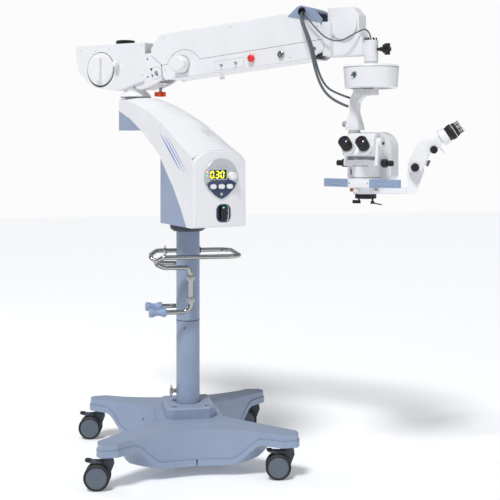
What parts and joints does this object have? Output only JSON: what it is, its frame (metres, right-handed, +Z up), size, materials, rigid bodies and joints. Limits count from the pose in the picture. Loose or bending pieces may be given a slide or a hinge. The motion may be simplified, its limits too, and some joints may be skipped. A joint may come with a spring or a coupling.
{
  "type": "surgical microscope on floor stand",
  "caption": "Ophthalmic surgical microscope hung from a balanced arm on a wheeled column stand, with a control housing, a handrail and braked twin-wheel casters.",
  "frame": {"origin": "on the floor under the axis of the column, at the centre of the caster square", "axes": "+Z up; X and Y along the sides of the caster square, with the control panel facing roughly -Y"},
  "size_m": [1.4921, 1.2628, 1.8856],
  "materials": {
    "base_iron": "textured blue-grey paint on cast iron",
    "blue_paint": "fine textured blue-grey paint",
    "chrome_tube": "polished chrome",
    "grip_blue": "soft light blue plastic",
    "fork_grey": "dark grey moulded nylon",
    "tyre_black": "black tread, smooth",
    "white_cover": "white satin moulded cover",
    "blue_cover": "blue-grey satin moulded cover",
    "cast_alloy": "sand-cast alloy, painted light grey",
    "white_metal": "white enamelled cast alloy",
    "steel": "ground steel",
    "silver_plate": "silver-grey printed front plate",
    "white_knob": "white moulded knob",
    "black_knob": "black moulded grip",
    "orange_knob": "orange moulded star knob",
    "red_button": "red moulded button",
    "cable_grey": "grey cable jacket"
  },
  "bodies": {
    "stand": {"base_frame": "base_iron", "base_cover": "blue_paint", "hub_cover": "blue_paint", "column": "blue_paint", "bearing_collar": "fork_grey", "handrail": "chrome_tube", "rail_grips": "grip_blue", "cable_pegs": "chrome_tube"},
    "caster_fl": {"caster_fl_fork": "fork_grey"},
    "wheels_fl": {"caster_fl_wheels": "tyre_black"},
    "pedal_fl": {"caster_fl_pedal": "fork_grey"},
    "caster_fr": {"caster_fr_fork": "fork_grey"},
    "wheels_fr": {"caster_fr_wheels": "tyre_black"},
    "pedal_fr": {"caster_fr_pedal": "fork_grey"},
    "caster_rl": {"caster_rl_fork": "fork_grey"},
    "wheels_rl": {"caster_rl_wheels": "tyre_black"},
    "pedal_rl": {"caster_rl_pedal": "fork_grey"},
    "caster_rr": {"caster_rr_fork": "fork_grey"},
    "wheels_rr": {"caster_rr_wheels": "tyre_black"},
    "pedal_rr": {"caster_rr_pedal": "fork_grey"},
    "housing": {"gooseneck_frame": "cast_alloy", "housing_shell": "white_cover", "housing_lower": "blue_cover", "front_panel": "white_cover", "console_plate": "silver_plate"},
    "console_dial": {"console_knob": "white_knob"},
    "key_left": {"console_button_left": "white_knob"},
    "key_mid": {"console_button_mid": "white_knob"},
    "key_right": {"console_button_right": "white_knob"},
    "rocker": {"power_switch": "black_knob"},
    "turret": {"swivel_neck": "cast_alloy", "head_cover": "white_cover", "arm_bracket": "white_metal"},
    "tension": {"tension_dial": "white_knob"},
    "tension_stop": {"tension_lock": "white_knob"},
    "brake_knob": {"top_knob": "black_knob"},
    "arm_lock": {"arm_lock_knob": "orange_knob"},
    "arm": {"arm_frame": "cast_alloy", "arm_upper_cover": "white_cover", "arm_lower_cover": "white_cover", "arm_end_cap": "blue_cover"},
    "link": {"parallel_link": "steel"},
    "balance": {"balance_knob": "white_knob"},
    "release": {"release_button": "red_button"},
    "arm_end": {"end_block": "white_metal", "head_cables": "cable_grey"},
    "hanger_lock": {"tube_lock_knob": "black_knob"},
    "drum": {"xy_drum": "white_cover"},
    "carriage": {"xy_carriage": "cast_alloy"},
    "bracket": {"neck": "white_metal"},
    "head": {"head_housing": "white_cover", "zoom_body": "white_metal", "objective_barrel": "black_knob", "handlebar": "grip_blue", "assistant_arm": "white_metal"},
    "zoom_shaft": {"zoom_knobs": "black_knob"},
    "binocular": {"bino_body": "white_metal"},
    "eye_left": {"eyepiece_left": "black_knob"},
    "eye_right": {"eyepiece_right": "black_knob"},
    "assistant": {"assistant_tube": "white_metal"}
  },
  "joints": [
    {"name": "swivel_fl", "type": "hinge", "parent": "stand", "child": "caster_fl", "pos_m": [-0.3525, -0.3525, 0.13], "axis": [0, 0, 1], "continuous": true},
    {"name": "roll_fl", "type": "hinge", "parent": "caster_fl", "child": "wheels_fl", "pos_m": [-0.39181, -0.34507, 0.05], "axis": [0.1857, 0.9826, 0], "continuous": true},
    {"name": "brake_fl", "type": "hinge", "parent": "caster_fl", "child": "pedal_fl", "pos_m": [-0.37608, -0.34804, 0.107], "axis": [0.1857, 0.9826, 0], "range_deg": [-5, 10]},
    {"name": "swivel_fr", "type": "hinge", "parent": "stand", "child": "caster_fr", "pos_m": [0.3525, -0.3525, 0.13], "axis": [0, 0, 1], "continuous": true},
    {"name": "roll_fr", "type": "hinge", "parent": "caster_fr", "child": "wheels_fr", "pos_m": [0.3132, -0.34507, 0.05], "axis": [0.1857, 0.9826, 0], "continuous": true},
    {"name": "brake_fr", "type": "hinge", "parent": "caster_fr", "child": "pedal_fr", "pos_m": [0.32892, -0.34804, 0.107], "axis": [0.1857, 0.9826, 0], "range_deg": [-5, 10]},
    {"name": "swivel_rl", "type": "hinge", "parent": "stand", "child": "caster_rl", "pos_m": [-0.3525, 0.3525, 0.13], "axis": [0, 0, 1], "continuous": true},
    {"name": "roll_rl", "type": "hinge", "parent": "caster_rl", "child": "wheels_rl", "pos_m": [-0.39181, 0.35993, 0.05], "axis": [0.1857, 0.9826, 0], "continuous": true},
    {"name": "brake_rl", "type": "hinge", "parent": "caster_rl", "child": "pedal_rl", "pos_m": [-0.37608, 0.35696, 0.107], "axis": [0.1857, 0.9826, 0], "range_deg": [-5, 10]},
    {"name": "swivel_rr", "type": "hinge", "parent": "stand", "child": "caster_rr", "pos_m": [0.3525, 0.3525, 0.13], "axis": [0, 0, 1], "continuous": true},
    {"name": "roll_rr", "type": "hinge", "parent": "caster_rr", "child": "wheels_rr", "pos_m": [0.3132, 0.35993, 0.05], "axis": [0.1857, 0.9826, 0], "continuous": true},
    {"name": "brake_rr", "type": "hinge", "parent": "caster_rr", "child": "pedal_rr", "pos_m": [0.32892, 0.35696, 0.107], "axis": [0.1857, 0.9826, 0], "range_deg": [-5, 10]},
    {"name": "column_swivel", "type": "hinge", "parent": "stand", "child": "housing", "pos_m": [0, 0, 0.98], "axis": [0, 0, 1], "range_deg": [-170, 170]},
    {"name": "dial_turn", "type": "hinge", "parent": "housing", "child": "console_dial", "pos_m": [0.13837, -0.26199, 1.187], "axis": [0.3305, -0.9438, 0], "range_deg": [-140, 140]},
    {"name": "press_left", "type": "slide", "parent": "housing", "child": "key_left", "axis": [-0.3305, 0.9438, 0], "range_m": [0, 0.002], "stiffness_N_per_m": 600},
    {"name": "press_mid", "type": "slide", "parent": "housing", "child": "key_mid", "axis": [-0.3305, 0.9438, 0], "range_m": [0, 0.002], "stiffness_N_per_m": 600},
    {"name": "press_right", "type": "slide", "parent": "housing", "child": "key_right", "axis": [-0.3305, 0.9438, 0], "range_m": [0, 0.002], "stiffness_N_per_m": 600},
    {"name": "rocker_tip", "type": "hinge", "parent": "housing", "child": "rocker", "pos_m": [0.10413, -0.26709, 1.04], "axis": [0.9438, 0.3305, 0], "range_deg": [-5, 5]},
    {"name": "arm_swivel", "type": "hinge", "parent": "housing", "child": "turret", "pos_m": [-0.17848, 0.50965, 1.526], "axis": [0, 0, 1], "range_deg": [-150, 150]},
    {"name": "tension_turn", "type": "hinge", "parent": "turret", "child": "tension", "pos_m": [-0.33602, 0.57339, 1.661], "axis": [-0.6782, -0.7349, 0], "range_deg": [-170, 170]},
    {"name": "tension_stop_turn", "type": "hinge", "parent": "turret", "child": "tension_stop", "pos_m": [-0.26253, 0.50557, 1.682], "axis": [-0.6782, -0.7349, 0], "range_deg": [-170, 170]},
    {"name": "top_knob_turn", "type": "hinge", "parent": "turret", "child": "brake_knob", "pos_m": [-0.22331, 0.55102, 1.78], "axis": [0, 0, 1], "range_deg": [-170, 170]},
    {"name": "arm_lock_turn", "type": "hinge", "parent": "turret", "child": "arm_lock", "pos_m": [-0.07339, 0.41268, 1.54], "axis": [0, 0, 1], "range_deg": [-120, 120]},
    {"name": "arm_tilt", "type": "hinge", "parent": "turret", "child": "arm", "pos_m": [-0.05722, 0.39776, 1.6323], "axis": [-0.6782, -0.7349, 0], "range_deg": [-14, 12]},
    {"name": "link_tilt", "type": "hinge", "parent": "turret", "child": "link", "pos_m": [-0.05722, 0.39776, 1.7223], "axis": [-0.6782, -0.7349, 0], "range_deg": [-14, 12]},
    {"name": "balance_turn", "type": "hinge", "parent": "arm", "child": "balance", "pos_m": [0.00668, 0.24627, 1.66426], "axis": [-0.6782, -0.7349, 0], "range_deg": [-170, 170]},
    {"name": "release_press", "type": "slide", "parent": "arm", "child": "release", "axis": [0.6782, 0.7349, 0], "range_m": [0, 0.004], "stiffness_N_per_m": 900},
    {"name": "end_level", "type": "hinge", "parent": "arm", "child": "arm_end", "pos_m": [0.53918, -0.15258, 1.70758], "axis": [-0.6782, -0.7349, 0], "range_deg": [-12, 14], "deforming": ["head_cables"]},
    {"name": "hanger_lock_turn", "type": "hinge", "parent": "arm_end", "child": "hanger_lock", "pos_m": [0.74796, -0.34524, 1.695], "axis": [0.7349, -0.6782, 0], "range_deg": [-120, 120]},
    {"name": "head_swivel", "type": "hinge", "parent": "arm_end", "child": "drum", "pos_m": [0.70533, -0.3059, 1.64], "axis": [0, 0, 1], "range_deg": [-120, 120], "deforming": ["head_cables"]},
    {"name": "xy_left_right", "type": "slide", "parent": "drum", "child": "carriage", "axis": [0.7349, -0.6782, 0], "range_m": [-0.02, 0.02], "deforming": ["head_cables"]},
    {"name": "xy_fore_aft", "type": "slide", "parent": "carriage", "child": "bracket", "axis": [-0.6782, -0.7349, 0], "range_m": [-0.02, 0.02], "deforming": ["head_cables"]},
    {"name": "focus", "type": "slide", "parent": "bracket", "child": "head", "axis": [0, 0, 1], "range_m": [-0.025, 0.006]},
    {"name": "zoom_turn", "type": "hinge", "parent": "head", "child": "zoom_shaft", "pos_m": [0.66464, -0.35, 1.238], "axis": [0.7349, -0.6782, 0], "range_deg": [-150, 150]},
    {"name": "binocular_tilt", "type": "hinge", "parent": "head", "child": "binocular", "pos_m": [0.65989, -0.35514, 1.317], "axis": [-0.7349, 0.6782, 0], "range_deg": [-8, 12]},
    {"name": "eye_right_shift", "type": "slide", "parent": "binocular", "child": "eye_right", "axis": [0.7349, -0.6782, 0], "range_m": [-0.006, 0.006]},
    {"name": "eye_left_shift", "type": "slide", "parent": "binocular", "child": "eye_left", "axis": [0.7349, -0.6782, 0], "range_m": [-0.006, 0.006]},
    {"name": "assistant_swing", "type": "hinge", "parent": "head", "child": "assistant", "pos_m": [0.85433, -0.40912, 1.222], "axis": [-0.3371, -0.9415, 0], "range_deg": [-15, 20]}
  ],
  "couplings": [
    {"joint": "link_tilt", "follows": "arm_tilt", "ratio": 1},
    {"joint": "end_level", "follows": "arm_tilt", "ratio": -1},
    {"joint": "eye_left_shift", "follows": "eye_right_shift", "ratio": -1}
  ]
}
